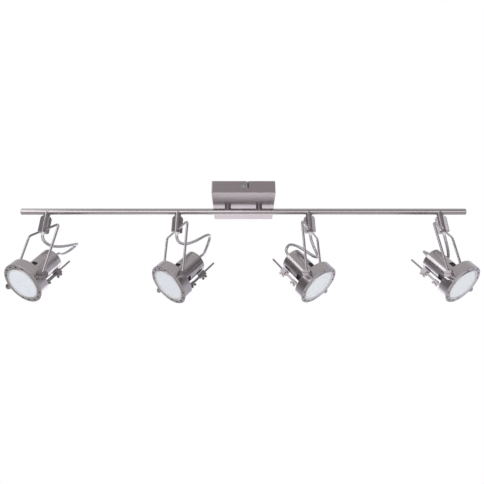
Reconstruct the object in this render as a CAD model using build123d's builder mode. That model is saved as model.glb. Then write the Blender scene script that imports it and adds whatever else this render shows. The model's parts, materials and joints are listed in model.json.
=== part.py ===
"""Ceiling spot bar: a square canopy, a round bar on two posts and four bail-mounted spot heads.

Millimetres. +X runs along the bar, +Y towards the back, +Z up. The origin is the centre of the
canopy where it meets the ceiling, so the whole fitting hangs below Z = 0.
"""
import os
from math import cos, degrees, radians, sin, tan
from build123d import *

# ---------------------------------------------------------------- driving dimensions
canopy_side = 117.0
canopy_height = 24.0
sheet = 1.2
canopy_corner = 2.0
bayonet_x = 7.5            # the slot's upright leg, beside the screw on the centre line
bayonet_z = -12.0
bayonet_width = 4.6

strap_width = 24.0
strap_thickness = 2.0
fixing_spacing = 64.0      # between the two ceiling fixing slots
fixing_slot_length = 18.0
fixing_slot_radius = 2.6

bar_length = 850.0
bar_radius = 6.0
bar_wall = 1.0
bar_cap = 1.5
bar_drop = 10.5            # canopy underside to bar axis
bar_z = -canopy_height - bar_drop
post_spacing = 60.0
post_radius = 5.8
stud_radius = 4.0
stud_bore = 2.6

spot_pitch = 250.0
ferrule_bottom = -8.0      # below the bar's axis
gap = 0.3                  # between faces that move past each other
swivel_pin_radius = 3.45
swivel_hole_radius = 3.5

barrel_radius = 5.8
barrel_bottom = -43.5
fin_half_width = 10.3
fin_thickness = 4.6
fin_top = -10.0

wire_radius = 2.3
crossbar_z = -38.5         # below the bar's axis
bail_half_width = 48.5
bail_drop = 100.0          # crossbar axis to tilt axis
bail_bend = 7.0
eye_radius = 5.6
eye_half_thickness = 2.0
eye_bore = 2.08
pivot_shank = 2.0

drum_radius = 40.0
drum_rear = -9.0           # along the head's axis, from the tilt axis
drum_front = 6.5
drum_wall = 1.4
bezel_front = 9.0
bezel_inner = 30.3
vent_hole_radius = 1.7
vent_circle = 35.6
vent_step = 23.0
glass_radius = 30.0
glass_front = 8.7
notch_radius = 9.0
hub_radius = 5.8
hub_face = bail_half_width - eye_half_thickness - gap
knob_radius = 5.7
knob_length = 7.6

body_radius = 20.5
body_wall = 1.2
lamp_opening = 18.8
body_rear = -66.0
gland_length = 5.0
gland_radius = 4.0
flex_radius = 2.7

rail_rear = -61.0
rail_inner = 2.4           # each rail bar runs from here ...
rail_outer = 5.0           # ... to here, either side of the centre line
rail_top = -25.0
rail_bottom = -28.5
block_front = -52.0
block_rear = -62.0
block_half_width = 6.5
block_top = -21.3
block_bottom = -31.0
handle_radius = 1.8
handle_end = -92.0
handle_z = -26.2
wing_x = -29.0

# heading: which way a lamp points about +Z, from +X; lean: of the bail from plumb, towards the
# lamp's front; tilt: of the lamp below the horizon. All degrees.
spots = [
    dict(heading=233.0, lean=6.5, tilt=52.5),
    dict(heading=210.0, lean=1.5, tilt=47.0),
    dict(heading=-24.5, lean=1.5, tilt=50.5),
    dict(heading=-40.5, lean=4.0, tilt=53.0),
]

# The flex of each spot, in the swivel's frame: out along the heading, left of it, and up from the
# bar's axis. It leaves the barrel straight down and ends where the gland's axis begins.
flex_routes = [
    [(0, 0, -53), (-7, 1, -61), (-18, 4, -65), (-32, 8, -63.5), (-46, 12, -58.5), (-59, 13, -52),
     (-69, 9, -46), (-75, 0, -43), (-77, -10, -45), (-72, -17, -53), (-63, -17, -62),
     (-53, -12, -68), (-44, -5, -71)],
    [(0, 0, -54), (-6, 1, -63), (-17, 4, -65), (-31, 8, -59), (-44, 11, -50), (-56, 10, -41),
     (-65, 5, -36), (-71, -4, -35), (-74, -13, -40), (-72, -17, -50), (-67, -14, -62),
     (-61, -8, -72)],
    [(0, 0, -54), (2, 4, -66), (5, 9, -77), (8, 9, -87), (8, 0, -94), (3, -9, -92), (-6, -13, -84),
     (-17, -12, -75), (-28, -9, -67.5), (-40.5, -4, -61.5), (-48.5, -0.5, -66.5)],
    [(0, 0, -54), (-1, 5, -65), (-3, 12, -76), (-7, 19, -86), (-15, 24, -91), (-25, 26, -88),
     (-34, 24, -79.5), (-42, 18, -70.5), (-46.3, 9.2, -66)],
]


# ---------------------------------------------------------------- frames and helpers
def tilted(origin, heading, drop):
    """A frame at origin whose X looks along heading and drop degrees below the horizon."""
    level = Vector(cos(radians(heading)), sin(radians(heading)), 0)
    up = Vector(0, 0, 1)
    x_dir = level * cos(radians(drop)) - up * sin(radians(drop))
    z_dir = level * sin(radians(drop)) + up * cos(radians(drop))
    return Plane(origin=origin, x_dir=x_dir, z_dir=z_dir)


def side(frame, y=0.0):
    """The frame's XZ plane, moved along its Y: sketch x is the frame's X, sketch y its Z."""
    return Plane(frame.origin + frame.y_dir * y, x_dir=frame.x_dir, z_dir=-frame.y_dir)


def facing(frame, x=0.0):
    """The frame's YZ plane, moved along its X: sketch x is the frame's Y, sketch y its Z."""
    return Plane(frame.origin + frame.x_dir * x, x_dir=frame.y_dir, z_dir=frame.x_dir)


def level(frame, z=0.0):
    """The frame's XY plane, moved along its Z."""
    return Plane(frame.origin + frame.z_dir * z, x_dir=frame.x_dir, z_dir=frame.z_dir)


def along_x(frame):
    return Axis(frame.origin, frame.x_dir)


def save(piece, label):
    piece.part.label = label
    export_step(piece.part, f"parts/{label}.step")


os.makedirs("parts", exist_ok=True)
spot_xs = [(i - 1.5) * spot_pitch for i in range(len(spots))]
post_xs = [-post_spacing / 2, post_spacing / 2]
canopy_floor = -canopy_height + sheet
bar_frame = Plane(origin=(0, 0, bar_z), x_dir=(1, 0, 0), z_dir=(0, 0, 1))

# ---------------------------------------------------------------- ceiling bracket and canopy
ear_y = canopy_side / 2 - sheet - 0.1
with BuildPart() as ceiling_bracket:
    with BuildSketch():
        Rectangle(strap_width, 2 * ear_y)
        with GridLocations(0, fixing_spacing, 1, 2):
            SlotOverall(fixing_slot_length, 2 * fixing_slot_radius, rotation=90, mode=Mode.SUBTRACT)
        Circle(8.0, mode=Mode.SUBTRACT)
    extrude(amount=-strap_thickness)
    for way in (-1, 1):
        with Locations((0, way * (ear_y - strap_thickness / 2), 0)):
            Box(14, strap_thickness, 17, align=(Align.CENTER, Align.CENTER, Align.MAX))
    with Locations((0, 0, bayonet_z)):
        Cylinder(1.7, 2 * ear_y + 2, rotation=(90, 0, 0), mode=Mode.SUBTRACT)
save(ceiling_bracket, "ceiling_bracket")

with BuildPart() as canopy:
    Box(canopy_side, canopy_side, canopy_height, align=(Align.CENTER, Align.CENTER, Align.MAX))
    fillet(canopy.edges().filter_by(Axis.Z), canopy_corner)
    fillet(canopy.faces().sort_by(Axis.Z)[0].edges(), 0.8)
    offset(amount=-sheet, openings=canopy.faces().sort_by(Axis.Z)[-1])
    with BuildSketch(Plane.XZ):
        with Locations((bayonet_x, 0)):
            Rectangle(bayonet_width, -bayonet_z + bayonet_width / 2, align=(Align.CENTER, Align.MAX))
        with Locations((bayonet_x / 2, bayonet_z)):
            SlotCenterToCenter(bayonet_x, bayonet_width)
    extrude(amount=canopy_side, both=True, mode=Mode.SUBTRACT)
    with Locations(*[(x, 0, canopy_floor) for x in post_xs]):
        Cylinder(stud_radius + 0.1, 4 * sheet, mode=Mode.SUBTRACT)
save(canopy, "canopy")

with BuildPart() as canopy_screws:
    for way in (-1, 1):
        wall = Plane(origin=(0, way * canopy_side / 2, bayonet_z), x_dir=(1, 0, 0), z_dir=(0, way, 0))
        with BuildSketch(wall.offset(-6.0)):
            Circle(1.6)
        extrude(amount=6.0)
        with BuildSketch(wall):
            Circle(3.2)
        extrude(amount=2.0)
        with BuildSketch(wall.offset(2.0)):
            Rectangle(8.0, 0.9, rotation=35)
        extrude(amount=-0.9, mode=Mode.SUBTRACT)
save(canopy_screws, "canopy_screws")

with BuildPart() as terminal_block:
    with Locations((0, 30, canopy_floor)):
        Box(33, 17, 9, align=(Align.CENTER, Align.CENTER, Align.MIN))
    fillet(terminal_block.edges().filter_by(Axis.Z), 1.5)
    with Locations(*[(x, 30, canopy_floor + 9) for x in (-10.5, 0, 10.5)]):
        with Locations((0, -4, 0), (0, 4, 0)):
            Cylinder(2.6, 3.0, align=(Align.CENTER, Align.CENTER, Align.MIN))
    with Locations(*[(x, 30, canopy_floor + 4.5) for x in (-10.5, 0, 10.5)]):
        Cylinder(1.7, 20, rotation=(90, 0, 0), mode=Mode.SUBTRACT)
save(terminal_block, "terminal_block")

with BuildPart() as earth_screw:
    with Locations((-38, -30, canopy_floor)):
        Cylinder(4.5, 0.8, align=(Align.CENTER, Align.CENTER, Align.MIN))
        Cylinder(2.0, 9.0, align=(Align.CENTER, Align.CENTER, Align.MIN))
    with BuildSketch(Plane.XY.offset(canopy_floor + 0.8)):
        with Locations((-38, -30)):
            RegularPolygon(3.9, 6)
    extrude(amount=3.0)
save(earth_screw, "earth_screw")

# ---------------------------------------------------------------- posts and bar
with BuildPart() as bar_posts:
    with Locations(*[(x, 0, -canopy_height) for x in post_xs]):
        Cylinder(post_radius, bar_drop, align=(Align.CENTER, Align.CENTER, Align.MAX))
        Cylinder(stud_radius, 9.0, align=(Align.CENTER, Align.CENTER, Align.MIN))
    with Locations((0, 0, bar_z)):
        Cylinder(bar_radius, bar_length, rotation=(0, 90, 0), mode=Mode.SUBTRACT)
    with Locations(*[(x, 0, -canopy_height) for x in post_xs]):
        Cylinder(stud_bore, 40, mode=Mode.SUBTRACT)
save(bar_posts, "bar_posts")

with BuildPart() as post_nuts:
    with BuildSketch(Plane.XY.offset(canopy_floor)):
        with Locations(*[(x, 0) for x in post_xs]):
            RegularPolygon(7.5, 6)
            Circle(stud_radius + 0.02, mode=Mode.SUBTRACT)
    extrude(amount=5.0)
save(post_nuts, "post_nuts")

tube_half = bar_length / 2 - bar_cap
with BuildPart() as bar_tube:
    with BuildSketch(facing(bar_frame, -tube_half)):
        Circle(bar_radius)
        Circle(bar_radius - bar_wall, mode=Mode.SUBTRACT)
    extrude(amount=2 * tube_half)
    with Locations(*[(x, 0, bar_z) for x in post_xs]):
        Cylinder(stud_bore, bar_radius + 1, align=(Align.CENTER, Align.CENTER, Align.MIN),
                 mode=Mode.SUBTRACT)
    with Locations(*[(x, 0, bar_z) for x in spot_xs]):
        Cylinder(swivel_hole_radius, bar_radius + 1, align=(Align.CENTER, Align.CENTER, Align.MAX),
                 mode=Mode.SUBTRACT)
save(bar_tube, "bar_tube")

with BuildPart() as bar_end_caps:
    for way in (-1, 1):
        mouth = Plane(origin=(way * tube_half, 0, bar_z), x_dir=(0, 1, 0), z_dir=(way, 0, 0))
        with BuildSketch(mouth):
            Circle(bar_radius)
        extrude(amount=bar_cap)
        with BuildSketch(mouth):
            Circle(bar_radius - bar_wall - 0.02)
        extrude(amount=-9.0)
    chamfer(bar_end_caps.faces().filter_by(Axis.X).sort_by(Axis.X)[0].edges(), 0.7)
    chamfer(bar_end_caps.faces().filter_by(Axis.X).sort_by(Axis.X)[-1].edges(), 0.7)
save(bar_end_caps, "bar_end_caps")

with BuildPart() as bar_leads:
    with Locations((0, 0, bar_z + 2.4)):
        Cylinder(1.6, 2 * spot_xs[-1], rotation=(0, 90, 0))
save(bar_leads, "bar_leads")

with BuildPart() as bar_ferrules:
    with Locations(*[(x, 0, bar_z) for x in spot_xs]):
        Cylinder(barrel_radius, -ferrule_bottom, align=(Align.CENTER, Align.CENTER, Align.MAX))
    with Locations((0, 0, bar_z)):
        Cylinder(bar_radius, bar_length, rotation=(0, 90, 0), mode=Mode.SUBTRACT)
    with Locations(*[(x, 0, bar_z) for x in spot_xs]):
        Cylinder(swivel_hole_radius, 20, mode=Mode.SUBTRACT)
save(bar_ferrules, "bar_ferrules")


# ---------------------------------------------------------------- one spot, piece by piece
def make_holder(swivel, label):
    """Swivel barrel with a fin fore and aft, a hollow pin on top and the crossbar's bore below."""
    with BuildPart() as holder:
        with BuildSketch(level(swivel, barrel_bottom)):
            Circle(barrel_radius)
        extrude(amount=ferrule_bottom - gap - barrel_bottom)
        with BuildSketch(side(swivel)):
            with BuildLine():
                Polyline(
                    (-fin_half_width, fin_top - 4), (-fin_half_width + 3, fin_top),
                    (fin_half_width - 3, fin_top), (fin_half_width, fin_top - 4),
                    (fin_half_width, barrel_bottom + 1.5), (fin_half_width - 1.5, barrel_bottom),
                    (-fin_half_width + 1.5, barrel_bottom), (-fin_half_width, barrel_bottom + 1.5),
                    close=True)
            make_face()
        extrude(amount=fin_thickness / 2, both=True)
        with BuildSketch(level(swivel, -1.8)):
            Circle(swivel_pin_radius)
        extrude(amount=ferrule_bottom - gap + 1.8)
        with BuildSketch(level(swivel, -1.8)):
            Circle(2.2)
        extrude(amount=-20.0, mode=Mode.SUBTRACT)
        with BuildSketch(side(swivel)):
            with Locations((0, crossbar_z)):
                Circle(wire_radius + 0.03)
        extrude(amount=2 * barrel_radius, both=True, mode=Mode.SUBTRACT)
    save(holder, label)


def make_bail(bail, label):
    """Bent wire stirrup: crossbar, two arms, and a flat eye at the foot of each arm."""
    across = facing(bail)
    with BuildPart() as stirrup:
        with BuildLine(across) as path:
            FilletPolyline(
                (-bail_half_width, -bail_drop + eye_radius - 1), (-bail_half_width, 0),
                (bail_half_width, 0), (bail_half_width, -bail_drop + eye_radius - 1),
                radius=bail_bend)
        with BuildSketch(level(bail, -bail_drop + eye_radius - 1)):
            with Locations((0, -bail_half_width)):
                Circle(wire_radius)
        sweep(path=path.wires()[0])
        for way in (-1, 1):
            with BuildSketch(side(bail, way * bail_half_width)):
                with Locations((0, -bail_drop)):
                    Circle(eye_radius)
            extrude(amount=eye_half_thickness, both=True)
            with BuildSketch(side(bail, way * (barrel_radius + 1.6))):
                Circle(3.5)
            extrude(amount=1.2, both=True)
        with BuildSketch(side(bail)):
            with Locations((0, -bail_drop)):
                Circle(eye_bore)
        extrude(amount=bail_half_width + 5, both=True, mode=Mode.SUBTRACT)
    save(stirrup, label)


def make_drum(head, label):
    """Front housing: a shallow drum, notched at both sides round the tilt hubs."""
    with BuildPart() as drum:
        with BuildSketch(side(head)):
            with Locations((drum_rear, lamp_opening)):
                Rectangle(drum_wall, drum_radius - lamp_opening, align=(Align.MIN, Align.MIN))
            with Locations((drum_rear, drum_radius - drum_wall)):
                Rectangle(drum_front - drum_rear, drum_wall, align=(Align.MIN, Align.MIN))
        revolve(axis=along_x(head))
        rear_rim = drum.edges().filter_by(GeomType.CIRCLE).group_by(SortBy.RADIUS)[-1]
        fillet(rear_rim.sort_by(along_x(head))[0], 1.2)
        for way in (-1, 1):
            with BuildSketch(side(head, way * 36.2)):
                with Locations((-4, 0)):
                    Circle(notch_radius)
                with Locations((-4, 0)):
                    Rectangle(12, 2 * notch_radius, align=(Align.MAX, Align.CENTER))
            extrude(amount=-way * 8, mode=Mode.SUBTRACT)
            with BuildSketch(side(head, way * 34.6)):
                with Locations((drum_rear, 0)):
                    Rectangle(13.0, 24.0, align=(Align.MIN, Align.CENTER))
            extrude(amount=-way * 1.6)
            with BuildSketch(side(head, way * 34.6)):
                Circle(hub_radius)
            extrude(amount=-way * (hub_face - 34.6))
        with BuildSketch(side(head)):
            Circle(pivot_shank + 0.03)
        extrude(amount=hub_face + 1, both=True, mode=Mode.SUBTRACT)
    save(drum, label)


def make_bezel(head, label):
    """Front ring with five vent holes above and five below, and a raised bead round the glass."""
    with BuildPart() as bezel:
        with BuildSketch(side(head)):
            with Locations((drum_front, bezel_inner)):
                Rectangle(bezel_front - drum_front, drum_radius - bezel_inner,
                          align=(Align.MIN, Align.MIN))
                Rectangle(bezel_front - drum_front + 0.7, 1.2, align=(Align.MIN, Align.MIN))
            with Locations((drum_front - 3.0, bezel_inner - 1.8)):
                Rectangle(1.2, 5.0, align=(Align.MIN, Align.MIN))
            with Locations((drum_front - 3.0, bezel_inner + 1.7)):
                Rectangle(3.5, 1.5, align=(Align.MIN, Align.MIN))
        revolve(axis=along_x(head))
        with BuildSketch(facing(head, drum_front - 1)):
            for middle in (90, 270):
                with PolarLocations(vent_circle, 5, start_angle=middle - 2 * vent_step,
                                    angular_range=4 * vent_step, endpoint=True):
                    Circle(vent_hole_radius)
        extrude(amount=5, mode=Mode.SUBTRACT)
        outer = bezel.edges().filter_by(GeomType.CIRCLE).group_by(SortBy.RADIUS)[-1]
        fillet(outer.sort_by(along_x(head))[-1], 0.8)
    save(bezel, label)


def make_glass(head, label):
    with BuildPart() as glass:
        with BuildSketch(facing(head, drum_front - 1.8)):
            Circle(glass_radius)
        extrude(amount=glass_front - drum_front + 1.8)
        fillet(glass.faces().sort_by(along_x(head))[-1].edges(), 0.6)
    save(glass, label)


def make_lamp(head, label):
    """Reflector lamp: glass bowl, neck and two bayonet pins."""
    with BuildPart() as lamp:
        with BuildSketch(side(head)):
            with BuildLine():
                Polyline((4.2, 0), (4.2, 24), (0, 24), (-8, 17.5), (-36, 13.5), (-46, 12), (-46, 0),
                         close=True)
            make_face()
        revolve(axis=along_x(head))
        with BuildSketch(facing(head, -46)):
            with Locations((-5, 0), (5, 0)):
                Circle(2.3)
        extrude(amount=-6)
    save(lamp, label)


def make_lampholder(head, label):
    """Ceramic lampholder with a socket for each pin."""
    with BuildPart() as lampholder:
        with BuildSketch(facing(head, -46.2)):
            Circle(14)
            with Locations((-5, 0), (5, 0)):
                Circle(2.6, mode=Mode.SUBTRACT)
        extrude(amount=-10)
        with BuildSketch(facing(head, -56.2)):
            Circle(14)
        extrude(amount=-5)
    save(lampholder, label)


def make_rear_body(head, label):
    """Tubular rear housing: open end on the drum, four vent windows, grooves and a cable gland."""
    with BuildPart() as rear_body:
        with BuildSketch(facing(head, drum_rear)):
            Circle(body_radius)
        extrude(amount=body_rear - drum_rear)
        fillet(rear_body.faces().sort_by(along_x(head))[0].edges(), 1.6)
        with BuildSketch(facing(head, drum_rear)):
            Circle(body_radius - body_wall)
        extrude(amount=body_rear - drum_rear + body_wall, mode=Mode.SUBTRACT)
        with BuildSketch(facing(head, body_rear)):
            Circle(gland_radius)
        extrude(amount=-gland_length, taper=8)
        with BuildSketch(facing(head, -16)):
            for angle in (57, 123, 230, 310):
                with PolarLocations(body_radius, 1, start_angle=angle):
                    Rectangle(8, 11)
        extrude(amount=-12, mode=Mode.SUBTRACT)
        with BuildSketch(side(head)):
            for x in (-48, -52, -56):
                with Locations((x, body_radius)):
                    Rectangle(0.7, 0.7)
        revolve(axis=along_x(head), mode=Mode.SUBTRACT)
    save(rear_body, label)


def make_pivot_screws(head, label):
    """Two slotted knob screws that carry the drum in the bail's eyes."""
    knob_foot = bail_half_width + eye_half_thickness + gap
    with BuildPart() as pivot_screws:
        for way in (-1, 1):
            with BuildSketch(side(head, way * 37.5)):
                Circle(pivot_shank)
            extrude(amount=-way * (knob_foot - 37.5))
            with BuildSketch(side(head, way * knob_foot)):
                Circle(knob_radius)
            extrude(amount=-way * knob_length)
            with BuildSketch(side(head, way * (knob_foot + knob_length))):
                Rectangle(14, 1.3, rotation=35)
            extrude(amount=way * 1.4, mode=Mode.SUBTRACT)
    save(pivot_screws, label)


def wing_screw(frame, x, foot):
    """A small wing nut hanging just below foot, for the piece that it clamps."""
    with BuildPart() as wing:
        with BuildSketch(level(frame, foot - 0.05)):
            with Locations((x, 0)):
                Circle(2.4)
        extrude(amount=-2.6)
        with BuildSketch(side(frame)):
            with Locations((x - 3.6, foot - 2.9), (x + 3.6, foot - 2.9)):
                Circle(2.4)
            with Locations((x, foot - 1.6)):
                Rectangle(7.2, 1.8)
        extrude(amount=0.7, both=True)
    return wing.part


def make_rail(head, label):
    """Slotted focus rail: two bars on a foot behind the drum, with its wing screw."""
    wing = wing_screw(head, wing_x, rail_bottom)
    with BuildPart() as rail:
        with BuildSketch(facing(head, drum_rear)):
            with Locations((0, rail_bottom)):
                Rectangle(2 * rail_outer + 4, 9.5, align=(Align.CENTER, Align.MIN))
            Circle(body_radius + 0.1, mode=Mode.SUBTRACT)
        extrude(amount=-2.0)
        with BuildSketch(facing(head, drum_rear - 2.0)):
            with Locations((0, rail_bottom)):
                Rectangle(2 * rail_outer, rail_top - rail_bottom, align=(Align.CENTER, Align.MIN))
                Rectangle(2 * rail_inner, 9, mode=Mode.SUBTRACT)
        extrude(amount=rail_rear - drum_rear + 2.0)
        with BuildSketch(level(head, rail_top + 0.05)):
            with Locations((wing_x, 0)):
                Circle(4.2)
        extrude(amount=1.2)
        with BuildSketch(level(head, rail_top + 0.05)):
            with Locations((wing_x, 0)):
                Circle(1.6)
        extrude(amount=rail_bottom - rail_top - 0.1)
        add(wing)
    save(rail, label)


def make_focus_block(head, label):
    """Sliding block on the rail, with its rear handle rod and clamping wing screw."""
    wing = wing_screw(head, (block_front + block_rear) / 2, block_bottom)
    with BuildPart() as focus_block:
        with BuildSketch(facing(head, block_front)):
            with Locations((0, block_bottom)):
                Rectangle(2 * block_half_width, block_top - block_bottom,
                          align=(Align.CENTER, Align.MIN))
            for way in (-1, 1):
                with Locations((way * (rail_inner + rail_outer) / 2, (rail_top + rail_bottom) / 2)):
                    Rectangle(rail_outer - rail_inner + 2 * gap, rail_top - rail_bottom + 2 * gap,
                              mode=Mode.SUBTRACT)
        extrude(amount=block_rear - block_front)
        with BuildSketch(facing(head, block_rear)):
            with Locations((0, handle_z)):
                Circle(handle_radius)
        extrude(amount=handle_end - block_rear)
        fillet(focus_block.faces().sort_by(along_x(head))[0].edges(), 0.8)
        add(wing)
    save(focus_block, label)


def flex_points(swivel, head, route):
    """World points of a flex: barrel mouth, route, then straight into the gland."""
    points = [swivel.from_local_coords((0, 0, barrel_bottom))]
    points += [swivel.from_local_coords(p) for p in route]
    gland_mouth = body_rear - gland_length
    points.append(head.from_local_coords((gland_mouth - 11.0, 0, 0)))
    points.append(head.from_local_coords((gland_mouth, 0, 0)))
    return points


def corner_radii(points):
    """One radius for each corner: 0.45 of its shorter run over the tangent of half its turn."""
    radii = []
    for before, here, after in zip(points, points[1:], points[2:]):
        half_turn = radians((here - before).get_angle(after - here)) / 2
        radii.append(0.45 * min((here - before).length, (after - here).length) / tan(half_turn))
    return radii


def make_flex(swivel, head, route, label):
    """Sheathed flex from the barrel to the gland: straight runs joined by tangent arcs."""
    points = flex_points(swivel, head, route)
    radii = corner_radii(points)
    with BuildPart() as flex:
        with BuildLine():
            path = FilletPolyline(*points, radius=radii)
        with BuildSketch(Plane(path @ 0, z_dir=path % 0)):
            Circle(flex_radius)
        sweep(path=path)
    length = path.length
    turns = [degrees(2 * radians((b - a).get_angle(c - b)) / 2)
             for a, b, c in zip(points, points[1:], points[2:])]
    ratio = flex.part.volume / (length * 3.14159265 * flex_radius ** 2)
    print(label, f"length {length:.1f} volume ratio {ratio:.4f}")
    print("   radii", [round(r, 1) for r in radii])
    print("   turns", [round(t) for t in turns])
    print("   runs ", [round((b - a).length, 1) for a, b in zip(points, points[1:])])
    print("   world", [tuple(round(v, 1) for v in p) for p in points])
    save(flex, label)


for number, (x, spot) in enumerate(zip(spot_xs, spots), start=1):
    swivel = tilted((x, 0, bar_z), spot["heading"], 0)
    crossbar = swivel.from_local_coords((0, 0, crossbar_z))
    bail = tilted(crossbar, spot["heading"], -spot["lean"])
    head = tilted(bail.from_local_coords((0, 0, -bail_drop)), spot["heading"], spot["tilt"])
    make_holder(swivel, f"holder_{number}")
    make_bail(bail, f"bail_{number}")
    make_drum(head, f"drum_{number}")
    make_bezel(head, f"bezel_{number}")
    make_glass(head, f"glass_{number}")
    make_lamp(head, f"lamp_{number}")
    make_lampholder(head, f"lampholder_{number}")
    make_rear_body(head, f"rear_body_{number}")
    make_pivot_screws(head, f"pivot_screws_{number}")
    make_rail(head, f"rail_{number}")
    make_focus_block(head, f"focus_block_{number}")
    make_flex(swivel, head, flex_routes[number - 1], f"flex_{number}")
    print(f"spot {number}: tilt axis at", tuple(round(v, 3) for v in head.origin),
          "along", tuple(round(v, 5) for v in head.y_dir),
          "lamp axis", tuple(round(v, 5) for v in head.x_dir))
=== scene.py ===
# %% [markdown]
# A ceiling bar with four spotlights, all in satin nickel.
# A square canopy hides the wiring at the ceiling and carries one long round tube on two
# posts. Four round spotlights hang under the tube. Each turns on a short swivel holder,
# tilts in a bent wire bail, and has a focus slide behind its drum.
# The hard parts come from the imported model, which is loaded first and never moved.

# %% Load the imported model
import json
from math import cos, pi, radians, sin

import bmesh
import bpy
from mathutils import Matrix, Vector


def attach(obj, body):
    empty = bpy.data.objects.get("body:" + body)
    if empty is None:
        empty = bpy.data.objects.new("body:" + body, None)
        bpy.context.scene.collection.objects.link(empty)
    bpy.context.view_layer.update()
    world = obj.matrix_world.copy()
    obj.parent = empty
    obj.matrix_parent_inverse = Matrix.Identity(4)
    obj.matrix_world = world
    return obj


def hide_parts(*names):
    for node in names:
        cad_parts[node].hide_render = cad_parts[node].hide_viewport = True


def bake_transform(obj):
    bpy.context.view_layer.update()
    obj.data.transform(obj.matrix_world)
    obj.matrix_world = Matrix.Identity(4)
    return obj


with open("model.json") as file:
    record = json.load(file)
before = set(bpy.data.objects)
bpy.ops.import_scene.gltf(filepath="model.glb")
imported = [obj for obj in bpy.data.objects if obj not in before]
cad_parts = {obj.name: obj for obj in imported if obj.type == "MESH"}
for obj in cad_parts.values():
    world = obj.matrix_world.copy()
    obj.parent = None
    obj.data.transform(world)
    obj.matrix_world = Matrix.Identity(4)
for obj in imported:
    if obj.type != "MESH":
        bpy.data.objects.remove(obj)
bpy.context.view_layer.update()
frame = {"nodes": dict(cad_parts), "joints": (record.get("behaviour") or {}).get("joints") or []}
joints = {joint["name"]: joint for joint in frame["joints"]}
MM = 0.001
SPOTS = (1, 2, 3, 4)
scene = bpy.context.scene

# %% [markdown]
# The camera comes first, because a hanging flex is judged in its view. It stands in front
# of the canopy, a little lower than the lamps, and looks up at the bar. Its lens is near
# normal, and a small vertical shift leaves the white room under the fixture.

# %% Camera
CAMERA_PLACE = (-0.0028, -0.8121, -0.4193)
CAMERA_PITCH = 28.98
CAMERA_LENS, CAMERA_SHIFT, SENSOR_WIDTH = 34.8, -0.124, 36
camera_data = bpy.data.cameras.new("camera")
camera_data.sensor_width = SENSOR_WIDTH
camera_data.lens = CAMERA_LENS
camera_data.shift_y = CAMERA_SHIFT
camera = bpy.data.objects.new("camera", camera_data)
camera.location = CAMERA_PLACE
camera.rotation_euler = (radians(90 + CAMERA_PITCH), 0, 0)
scene.collection.objects.link(camera)
scene.camera = camera
print("camera at", CAMERA_PLACE, "pitched up", CAMERA_PITCH)

# %% [markdown]
# Each spot has its own working axes: the lamp axis points out of the glass, the side axis
# runs along the tilt pivots, and the third is square to both. The joints of the packed
# model give them, so nothing here is placed by eye. The swivel has upright axes of its own.

# %% Working axes of each spot


def axes(x_way, y_way, centre):
    """A matrix that turns (along, side, up) millimetres into a place in the model."""
    x_way, y_way = Vector(x_way).normalized(), Vector(y_way).normalized()
    turn = Matrix((x_way, y_way, x_way.cross(y_way))).transposed().to_4x4()
    return Matrix.Translation(centre) @ turn @ Matrix.Scale(MM, 4)


head_axes, swivel_axes = {}, {}
for n in SPOTS:
    tilt, focus, swivel = joints[f"tilt_{n}"], joints[f"focus_{n}"], joints[f"swivel_{n}"]
    head_axes[n] = axes(focus["axis"], tilt["axis"], tilt["pos_m"])
    ahead = Vector((focus["axis"][0], focus["axis"][1], 0))
    left = Vector((0, 0, 1)).cross(ahead)
    swivel_axes[n] = axes(ahead, left, swivel["pos_m"])
    print("spot", n, "tilts about", [round(v, 4) for v in tilt["pos_m"]])

# %% [markdown]
# Colours are picked as sRGB hex values, as in a paint program. The renderer adds light in
# linear numbers, so one function turns a hex value into those.

# %% Colour and node helpers


def colour(code):
    """An sRGB hex value as linear red, green, blue and alpha."""
    parts = [int(code[i:i + 2], 16) / 255 for i in (0, 2, 4)]
    return [p / 12.92 if p <= 0.04045 else ((p + 0.055) / 1.055) ** 2.4 for p in parts] + [1]


def add(tree, kind, joined=None, **settings):
    """Adds a node, sets its options, then fills its sockets with values or links."""
    node = tree.nodes.new("ShaderNode" + kind)
    for name, value in settings.items():
        setattr(node, name, value)
    for socket, value in (joined or {}).items():
        if isinstance(value, bpy.types.NodeSocket):
            tree.links.new(value, node.inputs[socket])
        else:
            node.inputs[socket].default_value = value
    return node


def start_material(name, base, roughness, metallic=0.0, **more):
    """A material with one Principled shader, which holds all that is even all over."""
    made = bpy.data.materials.new(name)
    made.use_nodes = True
    tree = made.node_tree
    tree.nodes.clear()
    shader = add(tree, "BsdfPrincipled", {"Base Color": colour(base), "Roughness": roughness,
                                          "Metallic": metallic, **more})
    add(tree, "OutputMaterial", {"Surface": shader.outputs["BSDF"]})
    return made, tree, shader


def ramp(tree, factor, stops):
    """A colour ramp from its factor and (position, hex) stops."""
    node = add(tree, "ValToRGB", {"Fac": factor})
    elements = node.color_ramp.elements
    while len(elements) < len(stops):
        elements.new(0.5)
    for element, (position, code) in zip(elements, stops):
        element.position = position
        element.color = colour(code)
    return node.outputs["Color"]
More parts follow.
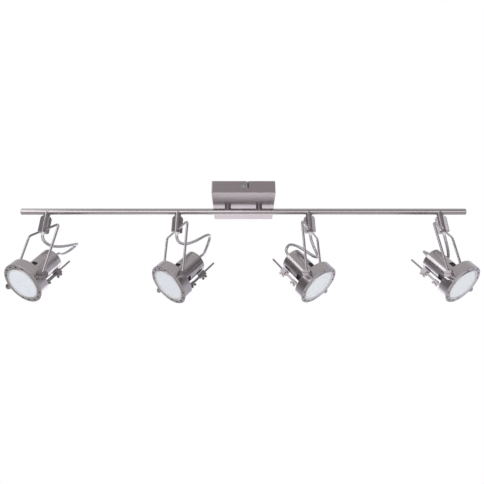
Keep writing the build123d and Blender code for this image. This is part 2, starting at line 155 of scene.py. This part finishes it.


# %% [markdown]
# The flex of each spot is a short clear sleeve, 5.4 mm thick, over silvery twisted leads.
# It drops straight out of the swivel holder, swings round in a loose loop and goes into
# the gland behind the lamp. Only the two ends are held, so its weight and its own twist
# give it the loop. It is one smooth NURBS line through a few control points. The line is
# turned into a mesh tube.

# %% Flex routes
FLEX_RADIUS = 0.0027
FLEX_LENGTHS = {1: 0.175, 2: 0.171, 3: 0.149, 4: 0.126}
FLEX_ROUTES = {
    1: [
        (-0.3750, 0.0000, -0.0780), (-0.3750, 0.0000, -0.0875), (-0.3700, 0.0050, -0.0955),
        (-0.3610, 0.0120, -0.0995), (-0.3494, 0.0207, -0.0980), (-0.3377, 0.0295, -0.0930),
        (-0.3291, 0.0393, -0.0865), (-0.3263, 0.0497, -0.0805), (-0.3299, 0.0599, -0.0775),
        (-0.3366, 0.0675, -0.0795), (-0.3452, 0.0677, -0.0875), (-0.3507, 0.0605, -0.0965),
        (-0.3527, 0.0495, -0.1025), (-0.3525, 0.0381, -0.1055), (-0.3518, 0.0308, -0.1073),
        (-0.3558, 0.0255, -0.1160),
    ],
    2: [
        (-0.1250, 0.0000, -0.0780), (-0.1250, 0.0000, -0.0885), (-0.1193, 0.0021, -0.0975),
        (-0.1083, 0.0050, -0.0995), (-0.0942, 0.0086, -0.0935), (-0.0814, 0.0125, -0.0845),
        (-0.0715, 0.0193, -0.0755), (-0.0662, 0.0282, -0.0705), (-0.0655, 0.0390, -0.0695),
        (-0.0674, 0.0483, -0.0745), (-0.0711, 0.0507, -0.0845), (-0.0740, 0.0456, -0.0965),
        (-0.0762, 0.0374, -0.1065), (-0.0788, 0.0267, -0.1130), (-0.0853, 0.0229, -0.1210),
    ],
    3: [
        (0.1250, 0.0000, -0.0780), (0.1250, 0.0000, -0.0885), (0.1285, 0.0028, -0.1005),
        (0.1333, 0.0061, -0.1115), (0.1360, 0.0049, -0.1215), (0.1323, -0.0033, -0.1285),
        (0.1240, -0.0094, -0.1265), (0.1141, -0.0093, -0.1185), (0.1046, -0.0039, -0.1095),
        (0.0958, 0.0034, -0.1020), (0.0865, 0.0132, -0.0960), (0.0807, 0.0197, -0.1010),
        (0.0799, 0.0205, -0.1097), (0.0863, 0.0176, -0.1182),
    ],
    4: [
        (0.3750, 0.0000, -0.0780), (0.3750, 0.0000, -0.0885), (0.3775, 0.0045, -0.0995),
        (0.3805, 0.0111, -0.1105), (0.3820, 0.0190, -0.1205), (0.3792, 0.0280, -0.1255),
        (0.3729, 0.0360, -0.1225), (0.3647, 0.0403, -0.1140), (0.3548, 0.0410, -0.1050),
        (0.3458, 0.0371, -0.1005), (0.3428, 0.0275, -0.1073), (0.3478, 0.0232, -0.1161),
    ],
}
print("flex lengths", FLEX_LENGTHS)

# %% Flexes
FLEX_ORDER, FLEX_STEPS, FLEX_ROUNDNESS = 3, 10, 5


def flex_tube(n, route):
    """The tube of a flex, and the points that its smooth centre line goes through."""
    curve = bpy.data.curves.new(f"flex_line_{n}", "CURVE")
    curve.dimensions = "3D"
    spline = curve.splines.new("NURBS")
    spline.points.add(len(route) - 1)
    for point, place in zip(spline.points, route):
        point.co = (*place, 1)
    spline.order_u = FLEX_ORDER
    spline.use_endpoint_u = True
    spline.resolution_u = FLEX_STEPS
    line = bpy.data.objects.new(curve.name, curve)
    centres = bpy.data.meshes.new_from_object(line)
    path = [tuple(v.co) for v in centres.vertices]
    curve.bevel_depth = FLEX_RADIUS
    curve.bevel_resolution = FLEX_ROUNDNESS
    curve.use_fill_caps = True
    tube = bpy.data.meshes.new_from_object(line)
    bpy.data.objects.remove(line)
    bpy.data.curves.remove(curve)
    tube.shade_smooth()
    flex = bpy.data.objects.new(f"clear_flex_{n}", tube)
    scene.collection.objects.link(flex)
    return flex, path


flexes = {}
for n in SPOTS:
    flex, path = flex_tube(n, FLEX_ROUTES[n])
    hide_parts(f"flex_{n}")
    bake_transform(flex)
    flexes[n] = flex
    print(flex.name, len(path), "points", len(flex.data.polygons), "faces")

# %% [markdown]
# Nickel plate is a soft grey metal with a warm, slightly brown cast. It is plated over
# brushed steel or turned brass, and the fine scratches of the brush stay under it. They
# spread each highlight into a band across their way, so the pattern has to run the right
# way on each part: along the tube, round the turned drums, and along the wires. All of it
# is one recipe with a different stretch. Real scratches are some 0.05 mm wide, too fine to
# show, so they are drawn 2 mm wide and kept faint.

# %% Satin nickel
SCRATCH = 2.0
GRAIN_DEPTH, GRAIN_RELIEF = 0.000005, 0.25
CLOUDS_PER_METRE = 65.0
# The length of a turned scratch is true at this radius in mm.
LATHE_RADIUS = 20
NICKEL = "b3adae"
NICKEL_DARK = "a49e9f"


def nickel(name, across, along, base=NICKEL, shade=NICKEL_DARK, roughness=0.3, turn=None,
           lathe=False):
    """Brushed nickel whose scratches are `across` mm wide and `along` mm long. `turn`
    gives the axes of the part, and `lathe` wraps the scratches round its first axis."""
    made, tree, shader = start_material(name, base, roughness, metallic=1.0)
    place = add(tree, "TexCoord").outputs["Object"]
    if turn is not None:
        back = turn.inverted()
        place = add(tree, "Mapping", {"Vector": place, "Location": back.to_translation(),
                                      "Rotation": back.to_euler(), "Scale": back.to_scale()},
                    vector_type="POINT").outputs["Vector"]
    else:
        place = add(tree, "VectorMath", {0: place, "Scale": 1 / MM},
                    operation="SCALE").outputs["Vector"]
    if lathe:
        part = add(tree, "SeparateXYZ", {"Vector": place}).outputs
        flat = add(tree, "CombineXYZ", {"Y": part["Y"], "Z": part["Z"]}).outputs["Vector"]
        radius = add(tree, "VectorMath", {0: flat}, operation="LENGTH").outputs["Value"]
        angle = add(tree, "Math", {0: part["Z"], 1: part["Y"]}, operation="ARCTAN2").outputs[0]
        # The sine and cosine of the angle join up behind, where the angle itself jumps.
        round_y = add(tree, "Math", {0: angle}, operation="SINE").outputs[0]
        round_z = add(tree, "Math", {0: angle}, operation="COSINE").outputs[0]
        depth = add(tree, "Math", {0: part["X"], 1: radius}, operation="ADD").outputs[0]
        place = add(tree, "CombineXYZ", {"X": round_y, "Y": round_z, "Z": depth}).outputs[0]
        stretch = (LATHE_RADIUS / along, LATHE_RADIUS / along, 1 / across)
    else:
        stretch = (1 / along, 1 / across, 1 / across)
    grain_place = add(tree, "VectorMath", {0: place, 1: stretch},
                      operation="MULTIPLY").outputs["Vector"]
    grain = add(tree, "TexNoise", {"Vector": grain_place, "Scale": 1.0, "Detail": 3.0,
                                   "Roughness": 0.6}).outputs["Fac"]
    # Broad clouds, some 15 mm wide, are where the plate was handled or lies thinner.
    cloud_place = add(tree, "TexCoord").outputs["Object"]
    cloud = add(tree, "TexNoise", {"Vector": cloud_place, "Scale": CLOUDS_PER_METRE,
                                    "Detail": 2.0}).outputs["Fac"]
    tone = add(tree, "Math", {0: grain, 1: 0.6, 2: 0.1}, operation="MULTIPLY_ADD").outputs[0]
    tone = add(tree, "Math", {0: cloud, 1: 0.3, 2: tone}, operation="MULTIPLY_ADD").outputs[0]
    shade_colour = ramp(tree, tone, [(0.25, shade), (0.85, base)])
    tree.links.new(shade_colour, shader.inputs["Base Color"])
    dull = add(tree, "MapRange", {"Value": tone, "From Min": 0.3, "From Max": 0.8,
                                  "To Min": roughness + 0.02, "To Max": roughness - 0.02})
    tree.links.new(dull.outputs["Result"], shader.inputs["Roughness"])
    bump = add(tree, "Bump", {"Height": grain, "Strength": GRAIN_RELIEF,
                              "Distance": GRAIN_DEPTH})
    tree.links.new(bump.outputs["Normal"], shader.inputs["Normal"])
    return made


tube_nickel = nickel("brushed_nickel_tube", SCRATCH, 90, roughness=0.2)
canopy_nickel = nickel("brushed_nickel_sheet", SCRATCH, 45, base="a89fa1", shade="9d9496",
                       roughness=0.34)
wire_nickel = nickel("drawn_nickel_wire", 6.0, 6.0, base="b4aeb0", shade="aca6a8",
                     roughness=0.2)
cast_nickel = nickel("tumbled_nickel", 4.0, 4.0, base="9c9698", shade="938d8f", roughness=0.34)
polished_nickel = nickel("polished_nickel", 6.0, 6.0, base="e6e3e2", shade="dedad9",
                         roughness=0.3)
turned_nickel = {n: nickel(f"turned_nickel_{n}", SCRATCH, 40, roughness=0.22,
                           turn=head_axes[n], lathe=True) for n in SPOTS}
print("nickel finishes", 5 + len(turned_nickel))

# %% [markdown]
# The parts that nobody is meant to see are plain: the ceiling bracket, nuts and canopy
# screws are steel with a bright zinc plate, a little bluer than nickel and mottled by its
# passivation.

# %% Zinc plated steel


def zinc_plate():
    """Bright zinc on pressed steel, with spangles about 2 mm wide."""
    made, tree, shader = start_material("zinc_plated_steel", "b4b8bd", 0.32, metallic=1.0)
    place = add(tree, "TexCoord").outputs["Object"]
    spangle = add(tree, "TexVoronoi", {"Vector": place, "Scale": 480.0, "Randomness": 1.0})
    mottle = add(tree, "TexNoise", {"Vector": place, "Scale": 140.0, "Detail": 3.0})
    tone = add(tree, "Math", {0: spangle.outputs["Distance"], 1: mottle.outputs["Fac"]},
               operation="MULTIPLY").outputs[0]
    tree.links.new(ramp(tree, tone, [(0.1, "a3a8ae"), (0.45, "c3c6c8")]),
                   shader.inputs["Base Color"])
    dull = add(tree, "MapRange", {"Value": tone, "From Max": 0.5, "To Min": 0.26,
                                  "To Max": 0.42})
    tree.links.new(dull.outputs["Result"], shader.inputs["Roughness"])
    return made


zinc = zinc_plate()
print("made", zinc.name)

# %% [markdown]
# The front glass is a flat disc, frosted on its inner face by acid. Light from the room
# scatters in the frosting, so it reads as a pale blue-white plate with a soft gloss over
# it, and hardly any of the lamp shows through. It is made as a milky solid under a clear
# coat, with the slight mottling of the etch.

# %% Frosted glass and lamp glass
CLOUDY_DEPTH = 0.000008


def cloudy(name, light, dark, roughness, size, relief=0.4, **more):
    """A plain material mottled by noise whose cells are `size` mm wide. `relief` is the
    strength of its surface bumps."""
    made, tree, shader = start_material(name, light, roughness, **more)
    place = add(tree, "TexCoord").outputs["Object"]
    mottle = add(tree, "TexNoise", {"Vector": place, "Scale": 1 / (size * MM), "Detail": 4.0,
                                    "Roughness": 0.55})
    tree.links.new(ramp(tree, mottle.outputs["Fac"], [(0.3, dark), (0.7, light)]),
                   shader.inputs["Base Color"])
    bump = add(tree, "Bump", {"Height": mottle.outputs["Fac"], "Strength": relief,
                              "Distance": CLOUDY_DEPTH})
    tree.links.new(bump.outputs["Normal"], shader.inputs["Normal"])
    return made


frosted_glass = cloudy("acid_frosted_glass", "eceff4", "e9ecf2", 0.5, 14, relief=0.0,
                       **{"IOR": 1.52, "Coat Weight": 0.2, "Coat Roughness": 0.3})
lamp_glass = cloudy("pressed_reflector_glass", "d8dcde", "b9bfc3", 0.12, 4,
                    **{"IOR": 1.47, "Coat Weight": 0.6, "Coat Roughness": 0.05})
steatite = cloudy("glazed_steatite", "e8e4da", "d9d4c8", 0.28, 3, **{"IOR": 1.54})
polyamide = cloudy("moulded_polyamide", "e9e8e2", "dedcd4", 0.42, 2, **{"IOR": 1.53})
lead_sleeving = cloudy("silicone_lead_sleeving", "c9c8c6", "b3b2b0", 0.35, 2,
                       **{"IOR": 1.43})
print("made", frosted_glass.name, lamp_glass.name, steatite.name, polyamide.name)

# %% [markdown]
# The flex shows its silvery leads through a clear sleeve. Two leads twisted together give
# a slanting pattern that repeats every 14 mm, and the sleeve puts a sharp gloss over it.
# The pattern follows the tube's own UV map, whose first number runs along the flex and
# whose second runs round it.

# %% Clear sleeved flex
LAY_OF_TWIST = 14.0


def sleeve(n, length):
    """Silvery twisted leads under a clear sleeve, for a flex of that length in metres."""
    made, tree, shader = start_material(f"clear_sleeved_leads_{n}", "a9a8a8", 0.3,
                                        metallic=0.55,
                                        **{"Coat Weight": 0.8, "Coat Roughness": 0.08})
    part = add(tree, "SeparateXYZ", {"Vector": add(tree, "TexCoord").outputs["UV"]}).outputs
    turns = add(tree, "Math", {0: part["X"], 1: 2 * length / MM / LAY_OF_TWIST},
                operation="MULTIPLY").outputs[0]
    both = add(tree, "Math", {0: part["Y"], 1: 2.0, 2: turns},
               operation="MULTIPLY_ADD").outputs[0]
    wave = add(tree, "Math", {0: both, 1: 2 * pi}, operation="MULTIPLY").outputs[0]
    wave = add(tree, "Math", {0: wave}, operation="SINE").outputs[0]
    height = add(tree, "MapRange", {"Value": wave, "From Min": -1.0, "From Max": 1.0})
    tree.links.new(ramp(tree, height.outputs["Result"],
                        [(0.0, "9f9da1"), (0.5, "a6a4a7"), (1.0, "adabae")]),
                   shader.inputs["Base Color"])
    bump = add(tree, "Bump", {"Height": height.outputs["Result"], "Strength": 0.15,
                              "Distance": 0.00002})
    tree.links.new(bump.outputs["Normal"], shader.inputs["Normal"])
    return made


for n in SPOTS:
    flexes[n].data.materials.append(sleeve(n, FLEX_LENGTHS[n]))
print("sleeved", len(flexes), "flexes")

# %% [markdown]
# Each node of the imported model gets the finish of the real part. The name of a node says
# what it is, and its last digit says which spot it belongs to.

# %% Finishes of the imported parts
FINISHES = {
    "ceiling_bracket": zinc, "canopy": canopy_nickel, "canopy_screws": zinc,
    "terminal_block": polyamide, "earth_screw": zinc, "bar_posts": cast_nickel,
    "post_nuts": zinc, "bar_tube": tube_nickel, "bar_end_caps": cast_nickel,
    "bar_leads": lead_sleeving, "bar_ferrules": cast_nickel, "holder": cast_nickel,
    "bail": wire_nickel, "glass": frosted_glass, "lamp": lamp_glass,
    "lampholder": steatite, "pivot_screws": cast_nickel, "rail": cast_nickel,
    "focus_block": cast_nickel,
}
TURNED = ("drum", "bezel", "rear_body")
for name, node in frame["nodes"].items():
    stem, _, spot = name.rpartition("_")
    if spot.isdigit():
        finish = turned_nickel[int(spot)] if stem in TURNED else FINISHES.get(stem)
    else:
        finish = FINISHES[name]
    if finish is not None:
        node.data.materials.clear()
        node.data.materials.append(finish)
print("finished", len(frame["nodes"]), "nodes")

# %% [markdown]
# Small turned parts finish each spot: a soft tapered sleeve where the flex leaves the
# holder, another where it enters the gland, a black liner of painted shade that shows
# through the vent windows, and the polished ring that holds the glass. A black ring of
# painted shade lies behind the ring of vent holes, and a round pip of it stands in each
# hole, a little below the metal, so the holes read dark. A turned part is half an outline,
# spun once round its axis, so one function makes them all from (along, radius) pairs in
# millimetres.

# %% Turned parts
TURN_STEPS = 96
SHARP_ANGLE = 35
EXIT_LEVEL, GLAND_MOUTH = -43.5, -71
EXIT_OUTLINE = [(-0.6, 2.72), (-0.6, 4.0), (0.2, 4.0), (1.2, 3.6), (6.5, 3.0), (7.0, 2.72),
                (-0.6, 2.72)]
GLAND_OUTLINE = [(-0.4, 2.72), (-0.4, 3.6), (0.4, 3.6), (1.0, 3.3), (4.5, 3.0), (5.0, 2.72),
                 (-0.4, 2.72)]
# A black liner of painted shade inside the rear body, seen through the vent windows.
SHADE_LINER_OUTLINE = [(-10.2, 18.5), (-10.2, 19.0), (-62.0, 19.0), (-62.0, 18.5), (-10.2, 18.5)]
# A black ring of painted shade behind the vent holes.
SHADE_RING_OUTLINE = [(5.0, 34.0), (6.3, 34.0), (6.3, 38.2), (5.0, 38.2), (5.0, 34.0)]
RING_OUTLINE = [(8.6, 29.9), (9.7, 29.9), (10.1, 30.4), (10.1, 31.4), (9.7, 31.9),
                (8.9, 31.9), (8.6, 29.9)]
# Black pips of painted shade, one in each vent hole, so the holes read dark.
SHADE_PIP_CIRCLE, SHADE_PIP_RADIUS, SHADE_PIP_LENGTH, SHADE_PIP_MIDDLE = 35.6, 1.62, 2.4, 7.0
SHADE_PIP_SPACING = 23
SHADE_PIP_ANGLES = [middle + step * SHADE_PIP_SPACING for middle in (90, 270) for step in (-2, -1, 0, 1, 2)]


def spun(outline):
    """A bmesh made by spinning an outline once round the x axis."""
    work = bmesh.new()
    points = [work.verts.new((along, 0, radius)) for along, radius in outline]
    edges = [work.edges.new(pair) for pair in zip(points, points[1:])]
    bmesh.ops.spin(work, geom=points + edges, cent=(0, 0, 0), axis=(1, 0, 0),
                   angle=2 * pi, steps=TURN_STEPS, use_merge=True)
    bmesh.ops.remove_doubles(work, verts=work.verts, dist=0.001)
    bmesh.ops.recalc_face_normals(work, faces=work.faces)
    return work


def turned(name, outline, place, body, finish):
    """Spins an outline round the x axis of `place`, and rides it on a body."""
    return finished(name, spun(outline), place, body, finish)


def finished(name, work, place, body, finish):
    """Puts a bmesh in its place as an object that rides on a body."""
    bmesh.ops.transform(work, matrix=place, verts=work.verts)
    mesh = bpy.data.meshes.new(name)
    work.to_mesh(mesh)
    work.free()
    mesh.shade_smooth()
    mesh.set_sharp_from_angle(angle=radians(SHARP_ANGLE))
    mesh.materials.append(finish)
    piece = bpy.data.objects.new(name, mesh)
    scene.collection.objects.link(piece)
    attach(piece, body)
    return piece


soft_sleeve = cloudy("clear_strain_sleeve", "d9d8d6", "c6c5c3", 0.22, 2,
                     **{"IOR": 1.45, "Coat Weight": 0.5, "Coat Roughness": 0.1})
# Near-black painted shade: it stands in for the dark hollow inside each drum, seen through its
# vent windows and holes.
painted_shade_black = cloudy("black_painted_shade", "0b0b0b", "070707", 0.55, 1, **{"IOR": 1.5})
for n in SPOTS:
    head = f"head_{n}"
    down = (swivel_axes[n] @ Matrix.Translation((0, 0, EXIT_LEVEL))
            @ Matrix.Rotation(pi / 2, 4, "Y"))
    turned(f"exit_sleeve_{n}", EXIT_OUTLINE, down, f"swivel_{n}", soft_sleeve)
    back = (head_axes[n] @ Matrix.Translation((GLAND_MOUTH, 0, 0))
            @ Matrix.Rotation(pi, 4, "Z"))
    turned(f"gland_sleeve_{n}", GLAND_OUTLINE, back, head, soft_sleeve)
    # Painted shade: a black liner, seen through the vent windows.
    turned(f"dark_shade_liner_{n}", SHADE_LINER_OUTLINE, head_axes[n], head, painted_shade_black)
    # Painted shade: a black ring behind the vent holes, with a black pip in each hole.
    shade_ring = spun(SHADE_RING_OUTLINE)
    for degrees in SHADE_PIP_ANGLES:
        across, up = SHADE_PIP_CIRCLE * cos(radians(degrees)), SHADE_PIP_CIRCLE * sin(radians(degrees))
        shade_pip = Matrix.Translation((SHADE_PIP_MIDDLE, across, up)) @ Matrix.Rotation(pi / 2, 4, "Y")
        bmesh.ops.create_cone(shade_ring, cap_ends=True, segments=24, radius1=SHADE_PIP_RADIUS,
                              radius2=SHADE_PIP_RADIUS, depth=SHADE_PIP_LENGTH, matrix=shade_pip)
    finished(f"vent_shade_ring_{n}", shade_ring, head_axes[n], head, painted_shade_black)
    turned(f"glass_ring_{n}", RING_OUTLINE, head_axes[n], head, polished_nickel)
print("turned parts", 5 * len(SPOTS))

# %% [markdown]
# The room is a plain white studio. A real product shot of bright metal has white walls and
# a darker side behind the camera, because metal shows only what it mirrors, and a wholly
# white room would leave it without form. So the mirrored room is white ahead and to the
# right, and grey at eye level behind the camera. The light that falls on the glass and the
# floor is stronger from the right. Two wide soft lamps stand in front, one is high on the
# left, and two lie one over the other behind the bar.

# %% Studio
ROOM_WALLS = [(0.05, "9c9a9b"), (0.25, "cccacb"), (0.42, "7c7879"), (0.58, "787475"),
              (0.70, "b0adae"), (0.80, "e6e4e5")]
ROOM_AHEAD = "f0f0fb"
SOFT_LIGHT = [(0.2, "a2a2a2"), (0.8, "fcfcfc")]
COOL_WHITE = (0.95, 0.96, 1.0)
world = bpy.data.worlds.new("studio")
scene.world = world
world.use_nodes = True
room = world.node_tree
room.nodes.clear()
way = add(room, "SeparateXYZ", {"Vector": add(room, "TexCoord").outputs["Generated"]}).outputs
height = add(room, "MapRange", {"Value": way["Z"], "From Min": -1.0, "From Max": 1.0})
walls = ramp(room, height.outputs["Result"], ROOM_WALLS)
right = add(room, "Math", {0: way["X"], 1: 0.0}, operation="MAXIMUM").outputs[0]
ahead = add(room, "Math", {0: right, 1: 0.6, 2: way["Y"]}, operation="MULTIPLY_ADD").outputs[0]
ahead = add(room, "MapRange", {"Value": ahead, "From Min": 0.2, "From Max": 0.7})
mirrored = add(room, "Mix", {0: ahead.outputs["Result"], 6: walls, 7: colour(ROOM_AHEAD)},
               data_type="RGBA").outputs[2]
rays = add(room, "LightPath").outputs
side = add(room, "MapRange", {"Value": way["X"], "From Min": -1.0, "From Max": 1.0})
soft = ramp(room, side.outputs["Result"], SOFT_LIGHT)
lit = add(room, "Mix", {0: rays["Is Glossy Ray"], 6: soft, 7: mirrored},
          data_type="RGBA").outputs[2]
shown = add(room, "Mix", {0: rays["Is Camera Ray"], 6: lit, 7: colour("ffffff")},
            data_type="RGBA").outputs[2]
sky = add(room, "Background", {"Color": shown, "Strength": 1.0})
add(room, "OutputWorld", {"Surface": sky.outputs["Background"]})


def softbox(name, place, target, width, height, brightness):
    """An oblong area light of an even brightness that looks from its place to a target."""
    data = bpy.data.lights.new(name, "AREA")
    data.shape = "RECTANGLE"
    data.size, data.size_y = width, height
    data.energy = brightness * pi * width * height
    data.color = COOL_WHITE
    lamp = bpy.data.objects.new(name, data)
    lamp.location = place
    lamp.rotation_euler = (Vector(target) - Vector(place)).to_track_quat("-Z", "Y").to_euler()
    lamp.visible_camera = False
    scene.collection.objects.link(lamp)


# Each lamp has a name, a place, a target, a width, a height and a brightness.
LAMPS = [
    ("front_left_strip", (-0.60, -1.25, -0.30), (-0.3, 0, -0.03), 1.4, 0.75, 2.2),
    ("front_right_strip", (0.65, -1.25, -0.35), (0.3, 0, -0.03), 1.1, 0.60, 1.5),
    ("back_low", (0, 1.25, -0.95), (0, 0, 0), 1.2, 0.6, 0.6),
    ("back_level", (0, 1.25, -0.35), (0, 0, -0.05), 1.6, 0.5, 1.5),
    ("left_high", (-1.2, -0.9, 0.5), (-0.1, 0, -0.1), 0.8, 0.8, 2.4),
]
for lamp_row in LAMPS:
    softbox(*lamp_row)

FLOOR_LEVEL, FLOOR_HALF_WIDTH = -1.3, 2.6
work = bmesh.new()
bmesh.ops.create_grid(work, x_segments=2, y_segments=2, size=FLOOR_HALF_WIDTH)
floor_mesh = bpy.data.meshes.new("floor")
work.to_mesh(floor_mesh)
work.free()
floor_mesh.transform(Matrix.Translation((0, 0, FLOOR_LEVEL)))
floor = bpy.data.objects.new("floor", floor_mesh)
scene.collection.objects.link(floor)
floor_mesh.materials.append(cloudy("pale_floor_paint", "f2f2f1", "eeeeed", 0.7, 40))
scene.view_settings.view_transform = "Standard"
print("studio ready")
